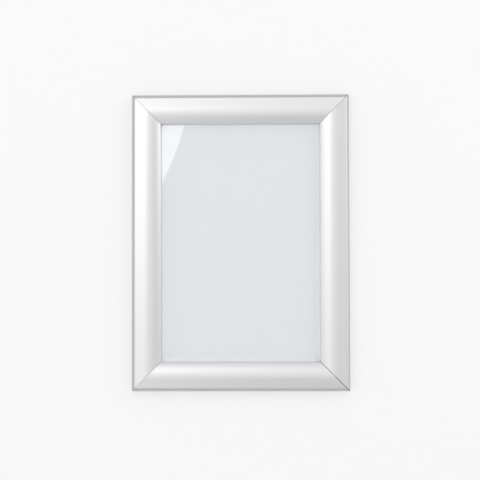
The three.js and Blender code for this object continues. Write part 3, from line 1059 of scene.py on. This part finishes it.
def clear_plastic():
    """Clear polished sheet that mirrors at its faces and lets the lamps and soft light through"""
    finish, tree, shader = new_finish("clear_sheet")
    bumped(tree, shader, noise(tree, object_place(tree), 9.0, 1.0), 0.05 * MM)
    feed(
        tree,
        shader,
        Base_Color=(0.985, 0.992, 0.995, 1.0),
        Roughness=0.015,
        IOR=1.58,
        Transmission_Weight=1.0,
        Coat_Weight=1.0,
        Coat_Roughness=0.015,
        Coat_IOR=1.8,
    )
    open_pane = result(tree, "ShaderNodeBsdfTransparent", Color=(0.96, 0.97, 0.975, 1.0))
    rays = tree.nodes.new("ShaderNodeLightPath").outputs
    let_through = maths(tree, "MAXIMUM", rays["Is Shadow Ray"], rays["Is Diffuse Ray"])
    shown(tree, mixed(tree, let_through, shader.outputs[0], open_pane))
    return finish


def painted_wall(name, rgb, glow_rgb):
    """Wall paint with a faint roller texture, which the camera sees mixed with a glow: plain white
    on the wall, and black as painted shade on the strips behind the mitres. The camera doesn't see
    its back, so that the frame's back shows."""
    finish, tree, shader = new_finish(name)
    place = object_place(tree)
    bumped(tree, shader, noise(tree, place, 260.0, 3.0), 0.05 * MM)
    tint = tinted(tree, noise(tree, place, 3.0, 2.0), rgb, 0.99)
    feed(tree, shader, Base_Color=tint, Roughness=0.9, Specular_IOR_Level=0.2)
    seen = tree.nodes.new("ShaderNodeLightPath").outputs["Is Camera Ray"]
    back = tree.nodes.new("ShaderNodeNewGeometry").outputs["Backfacing"]
    glow = result(tree, "ShaderNodeEmission", Color=(*glow_rgb, 1.0))
    # The camera sees a share of the glow: white lifts the wall, black paints shade on the strips
    glow_mixed = mixed(tree, times(tree, seen, GLOW_SHARE), shader.outputs[0], glow)
    hidden = result(tree, "ShaderNodeBsdfTransparent")
    shown(tree, mixed(tree, times(tree, back, seen), glow_mixed, hidden))
    return finish


def plain_floor(rgb):
    """Pale floor with a faint mottle"""
    finish, tree, shader = new_finish("pale_floor")
    mottle = noise(tree, object_place(tree), 6.0, 3.0)
    feed(tree, shader, Base_Color=tinted(tree, mottle, rgb, 0.98), Roughness=0.8)
    return finish


# Shapes that a tree repeats or that stand alone


def mesh_of(made, name):
    mesh = bpy.data.meshes.new(name)
    made.to_mesh(mesh)
    made.free()
    return mesh


def strip_mesh(settings):
    """One bowed leaf spring in the rail's own frame, centred along it, with rounded corners"""
    spring, places = settings.spring, SectionPlaces(settings)
    start, end = places.spring_start, places.spring_end
    chord = (end - start).normalized()
    control = (start + end) / 2 + 2 * spring.bow * Vector((-chord.y, chord.x))
    line = bezier([start, control, end], STRIP_ACROSS)
    span = sum((b[0] - a[0]).length for a, b in zip(line, line[1:]))
    made = bmesh.new()
    layers = []
    for side in (1, -1):
        rows, passed = [], 0.0
        for i, (place, ahead) in enumerate(line):
            passed += (place - line[i - 1][0]).length if i else 0.0
            short = max(0.0, spring.corner - min(passed, span - passed))
            cut = spring.corner - math.sqrt(max(0.0, spring.corner**2 - short**2))
            at = place + side * spring.thickness / 2 * Vector((-ahead.y, ahead.x))
            half = spring.span / 2 - cut
            alongs = [half * (2 * j / STRIP_ALONG - 1) for j in range(STRIP_ALONG + 1)]
            rows.append([made.verts.new((along, -at.y, at.x)) for along in alongs])
        layers.append(rows)
    bands = [(a, b) for rows in layers for a, b in zip(rows, rows[1:])]
    top, bottom = layers
    bands += [(top[i], bottom[i]) for i in (0, -1)]
    bands += [([row[i] for row in top], [row[i] for row in bottom]) for i in (0, -1)]
    for a, b in bands:
        for j in range(len(a) - 1):
            made.faces.new((a[j], a[j + 1], b[j + 1], b[j]))
    return mesh_of(made, "leaf_spring")


def plate_mesh(name, rim, rise, broken, rims_only=False):
    """A plate raised from its rim along Y, with its edges broken, or only those of its two rims"""
    made = bmesh.new()
    face = made.faces.new([made.verts.new(corner) for corner in rim])
    raised = bmesh.ops.extrude_face_region(made, geom=[face])["geom"]
    lifted = [item for item in raised if isinstance(item, bmesh.types.BMVert)]
    bmesh.ops.translate(made, vec=Vector((0.0, rise, 0.0)), verts=lifted)
    bmesh.ops.recalc_face_normals(made, faces=made.faces)
    edges = [
        edge
        for edge in made.edges
        if not rims_only or abs(edge.verts[0].co.y - edge.verts[1].co.y) < NEAR
    ]
    bmesh.ops.bevel(
        made, geom=edges, offset=broken, segments=2, affect="EDGES", profile=BREAK_PROFILE
    )
    return mesh_of(made, name)


def key_mesh(settings):
    """One corner key with broken edges, lying at the corner of two rails"""
    key, base, clearance = settings.key, settings.base, settings.sizes.clearance
    edge = base.side_reveal + base.wall + clearance
    inner = edge + base.channel - 2 * clearance
    tip, cut = edge + key.leg, key.chamfer
    leg = [(tip - cut, edge), (tip, edge + cut), (tip, inner - cut), (tip - cut, inner)]
    corners = [(edge, edge), *leg, (inner, inner), *((b, a) for a, b in reversed(leg))]
    back = -(base.channel_lip + clearance)
    rim = [(along, back, inset) for along, inset in corners]
    return plate_mesh("corner_key", rim, -key.thickness, key.edge)


def sheet_mesh(name, low, high, corner, edge):
    """A flat sheet with rounded corners and broken edges"""
    rim = []
    for i, (side_x, side_z) in enumerate(QUARTERS):
        x, z = (high if side_x > 0 else low)[0], (high if side_z > 0 else low)[2]
        for step in range(CORNER_STEPS + 1):
            turn = math.pi / 2 * (i + step / CORNER_STEPS)
            in_x, in_z = math.cos(turn) - side_x, math.sin(turn) - side_z
            rim.append((x + corner * in_x, low[1], z + corner * in_z))
    return plate_mesh(name, rim, high[1] - low[1], edge, rims_only=True)


def hide_behind(piece, body, nodes):
    """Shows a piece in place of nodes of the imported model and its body"""
    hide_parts(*nodes)
    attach(piece, body)


class POSTERFRAME_OT_flaps(bpy.types.Operator):
    """Builds the four hinged front flaps"""

    bl_idname = "poster_frame.flaps"
    bl_label = "Front flaps"

    def execute(self, context):
        settings = context.scene.poster_frame
        finish, sizes = settings.finish, settings.sizes
        edge, face, lip = settings.flap.edge_width, sizes.rail_face, settings.flap.lip_round
        # The flap's colour gets painted shade along its outer edge and painted light on its lip
        edge_start, edge_end, lip_start, lip_end = PAINTED_ZONE_SHARES
        painted_zones = (
            (edge_start * edge, finish.painted_edge_shade),
            (edge_end * edge, 1.0),
            (face - lip_start * lip, 1.0),
            (face - lip_end * lip, finish.painted_lip_light),
        )
        rgb, roughness = tuple(finish.aluminium), finish.aluminium_roughness
        satin = aluminium("satin_aluminium", rgb, roughness, FLAP_LINES, painted_zones)
        outline = softened(flap_outline(settings), sizes.corner_round)
        gaps = [gap * math.sqrt(0.5) for gap in corner_gaps(sizes)]
        cuts = end_cuts(settings)
        tree = flap_tree()
        for index, side in enumerate(SIDES):
            inputs = {
                **side_inputs(index),
                **cuts,
                "Finish": satin,
                "Start Mitre": gaps[index],
                "End Mitre": gaps[(index + 1) % 4],
                "Sawn Edge": sizes.sawn_edge,
            }
            mesh = outline_mesh("flap_outline", outline)
            flap = made_plain(f"flap_{side}_finish", mesh, tree, inputs)
            hide_behind(flap, f"{side}_flap", [f"flap_{side}"])
        return {"FINISHED"}


class POSTERFRAME_OT_base_rails(bpy.types.Operator):
    """Builds the four base rails that lie on the wall"""

    bl_idname = "poster_frame.base_rails"
    bl_label = "Base rails"

    def execute(self, context):
        settings = context.scene.poster_frame
        places, base, sizes = SectionPlaces(settings), settings.base, settings.sizes
        rgb, roughness = tuple(settings.finish.base), settings.finish.base_roughness
        finish = aluminium("base_aluminium", rgb, roughness, BASE_LINES)
        outline = softened(base_outline(settings), BASE_EDGE_SHARE * sizes.corner_round)
        tree = base_tree()
        for index, side in enumerate(SIDES):
            inputs = {
                **side_inputs(index),
                "Finish": finish,
                "Start Mitre": places.mitre_step,
                "End Mitre": places.mitre_step,
                "Sawn Edge": BASE_EDGE_SHARE * sizes.sawn_edge,
                "Hole Place": (sizes.poster_inset + base.ledge_end) / 2,
                "Hole Radius": base.screw_radius,
                "Sink Radius": base.sink_radius,
                "Wall": base.wall,
            }
            mesh = outline_mesh("base_outline", outline)
            rail = made_plain(f"base_rail_{side}_finish", mesh, tree, inputs)
            hide_behind(rail, "root", [f"base_rail_{side}"])
        return {"FINISHED"}


class POSTERFRAME_OT_springs(bpy.types.Operator):
    """Builds the leaf springs, two in each side"""

    bl_idname = "poster_frame.springs"
    bl_label = "Leaf springs"

    def execute(self, context):
        settings = context.scene.poster_frame
        places, spring = SectionPlaces(settings), settings.spring
        finish = blued_steel(tuple(settings.finish.steel))
        tree = spring_tree()
        strip = strip_mesh(settings)
        for index, side in enumerate(SIDES):
            inputs = {
                **side_inputs(index),
                "Finish": finish,
                "First": spring.first,
                "Second": spring.second,
            }
            pair = made_plain(f"leaf_springs_{side}_finish", strip.copy(), tree, inputs)
            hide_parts(f"leaf_spring_{side}_1", f"leaf_spring_{side}_2")
            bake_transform(pair)
        return {"FINISHED"}


class POSTERFRAME_OT_keys(bpy.types.Operator):
    """Builds the four corner keys that join the base rails"""

    bl_idname = "poster_frame.keys"
    bl_label = "Corner keys"

    def execute(self, context):
        settings = context.scene.poster_frame
        inputs = {
            "Width": FRAME_WIDTH,
            "Height": FRAME_HEIGHT,
            "Depth": FRAME_DEPTH,
            "Finish": zinc_plate(tuple(settings.finish.zinc)),
        }
        keys = made_plain("corner_keys_finish", key_mesh(settings), key_tree(), inputs)
        hide_behind(keys, "root", [f"corner_key_{corner}" for corner in CORNERS])
        return {"FINISHED"}


class POSTERFRAME_OT_sheets(bpy.types.Operator):
    """Builds the back panel and the clear cover over it"""

    bl_idname = "poster_frame.sheets"
    bl_label = "Panel and cover"

    def execute(self, context):
        settings = context.scene.poster_frame
        sheets = settings.sheets
        panel = panel_plastic(tuple(settings.finish.panel), settings.sizes.rail_face)
        for name, box, edge, slot, finish in (
            ("back_panel", PANEL_BOX, sheets.panel_edge, "pale_panel", panel),
            ("clear_cover", COVER_BOX, sheets.cover_edge, "clear_sheet", clear_plastic()),
        ):
            sheet = made_plain(f"{name}_finish", sheet_mesh(name, *box, sheets.corner, edge))
            sheet.data.materials.append(finish)
            hide_behind(sheet, "root", [name])
        return {"FINISHED"}


class POSTERFRAME_OT_stage(bpy.types.Operator):
    """Sets up the wall, the floor, the lights and the camera"""

    bl_idname = "poster_frame.stage"
    bl_label = "Wall, floor, light and camera"

    def execute(self, context):
        settings, scene = context.scene.poster_frame, context.scene
        studio = settings.studio
        scene.view_settings.view_transform = "Standard"
        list(backdrop(settings))
        world = bpy.data.worlds.new("room")
        world.use_nodes = True
        background = world.node_tree.nodes["Background"].inputs
        background["Color"].default_value = (1.0, 1.0, 1.0, 1.0)
        background["Strength"].default_value = studio.world_level
        scene.world = world
        for name, shape, place, size in SOFTBOXES:
            softbox(f"{name}_softbox", shape, place, size, getattr(studio, f"{name}_level"))
        camera = bpy.data.objects.new("camera", bpy.data.cameras.new("camera"))
        scene.collection.objects.link(camera)
        camera.data.lens = studio.focal_length
        camera.location = (studio.camera_right, -studio.camera_distance, -studio.camera_drop)
        tilt = math.pi / 2 + studio.camera_tilt
        camera.rotation_euler = (tilt, studio.camera_roll, studio.camera_turn)
        scene.camera = camera
        return {"FINISHED"}


def stage_piece(name, points, faces, finish):
    mesh = bpy.data.meshes.new(name)
    mesh.from_pydata(points, [], faces)
    mesh.materials.append(finish)
    piece = bpy.data.objects.new(name, mesh)
    bpy.context.scene.collection.objects.link(piece)
    return piece


def backdrop(settings):
    """The wall round the frame, its strips behind the mitres, and the floor"""
    studio, sizes = settings.studio, settings.sizes
    wall, glow = tuple(studio.wall_colour), tuple(studio.wall_glow)
    inset = settings.base.side_reveal + WALL_GAP
    points, faces = wall_ring(inset)
    ring = stage_piece("wall", points, faces, painted_wall("painted_wall", wall, glow))
    points, faces = mitre_strips(STRIP_REACH * sizes.rail_face)
    # Painted shade: the strips' glow is black, so the camera sees them at two fifths of their lit
    # brightness
    dark = painted_wall("shaded_wall", wall, (0.0, 0.0, 0.0))
    strips = stage_piece("wall_behind_mitres", points, faces, dark)
    points = [
        (x * STAGE_REACH, y * STAGE_REACH, FLOOR_HEIGHT)
        for x, y in ((-1, -2), (1, -2), (1, 0), (-1, 0))
    ]
    floor = stage_piece("floor", points, [(0, 1, 2, 3)], plain_floor(tuple(studio.floor_colour)))
    return ring, strips, floor


def wall_ring(inset):
    """The wall's face as a square, with an opening just inside the frame's edge"""
    y = FRAME_DEPTH / 2 + WALL_GAP
    opening = (FRAME_WIDTH / 2 - inset, FRAME_HEIGHT / 2 - inset)
    points = [
        (side_x * half_x, y, side_z * half_z)
        for half_x, half_z in ((STAGE_REACH, STAGE_REACH), opening)
        for side_x, side_z in ((-1, -1), (1, -1), (1, 1), (-1, 1))
    ]
    return points, [(i, (i + 1) % 4, (i + 1) % 4 + 4, i + 4) for i in range(4)]


def mitre_strips(width):
    """Strips of wall behind the mitres, so that the room doesn't shine through the rails' gaps"""
    y = FRAME_DEPTH / 2 + STRIP_GAP
    start, end = -STRIP_START, width * math.sqrt(2)
    points = []
    for side_x, side_z in QUARTERS:
        inward_x, inward_z = -side_x * math.sqrt(0.5), -side_z * math.sqrt(0.5)
        for along, side in ((start, -1), (end, -1), (end, 1), (start, 1)):
            across = side * STRIP_HALF_WIDTH
            x = side_x * FRAME_WIDTH / 2 + along * inward_x - across * inward_z
            z = side_z * FRAME_HEIGHT / 2 + along * inward_z + across * inward_x
            points.append((x, y, z))
    return points, [tuple(range(4 * i, 4 * i + 4)) for i in range(4)]


def softbox(name, shape, place, size, radiance):
    """An area lamp aimed at the frame's middle, set by the radiance of its face"""
    lamp = bpy.data.lights.new(name, "AREA")
    lamp.shape, lamp.size = shape, size
    face = size**2 * (math.pi / 4 if shape == "DISK" else 1.0)
    lamp.energy = radiance * math.pi * face
    box = bpy.data.objects.new(name, lamp)
    box.location = place
    box.rotation_euler = (-Vector(place)).to_track_quat("-Z", "Y").to_euler()
    box.visible_camera = False
    bpy.context.scene.collection.objects.link(box)


class POSTERFRAME_PT_panel(bpy.types.Panel):
    """The steps that build the frame"""

    bl_idname = "POSTERFRAME_PT_panel"
    bl_label = "Poster Frame"
    bl_space_type = "VIEW_3D"
    bl_region_type = "UI"
    bl_category = "Poster Frame"

    def draw(self, context):
        for step in STEPS:
            self.layout.operator(step.bl_idname)


STEPS = (
    POSTERFRAME_OT_base_rails,
    POSTERFRAME_OT_keys,
    POSTERFRAME_OT_sheets,
    POSTERFRAME_OT_springs,
    POSTERFRAME_OT_flaps,
    POSTERFRAME_OT_stage,
)
CLASSES = (
    PosterFrameSizes,
    PosterFrameFlap,
    PosterFrameBase,
    PosterFrameSpring,
    PosterFrameKey,
    PosterFrameSheets,
    PosterFrameFinish,
    PosterFrameStudio,
    PosterFrameSettings,
    *STEPS,
    POSTERFRAME_PT_panel,
)


def register():
    for item in CLASSES:
        bpy.utils.register_class(item)
    bpy.types.Scene.poster_frame = bpy.props.PointerProperty(type=PosterFrameSettings)


def unregister():
    del bpy.types.Scene.poster_frame
    for item in reversed(CLASSES):
        bpy.utils.unregister_class(item)


def main():
    register()
    bpy.ops.poster_frame.base_rails()
    bpy.ops.poster_frame.keys()
    bpy.ops.poster_frame.sheets()
    bpy.ops.poster_frame.springs()
    bpy.ops.poster_frame.flaps()
    bpy.ops.poster_frame.stage()


if __name__ == "__main__":
    main()
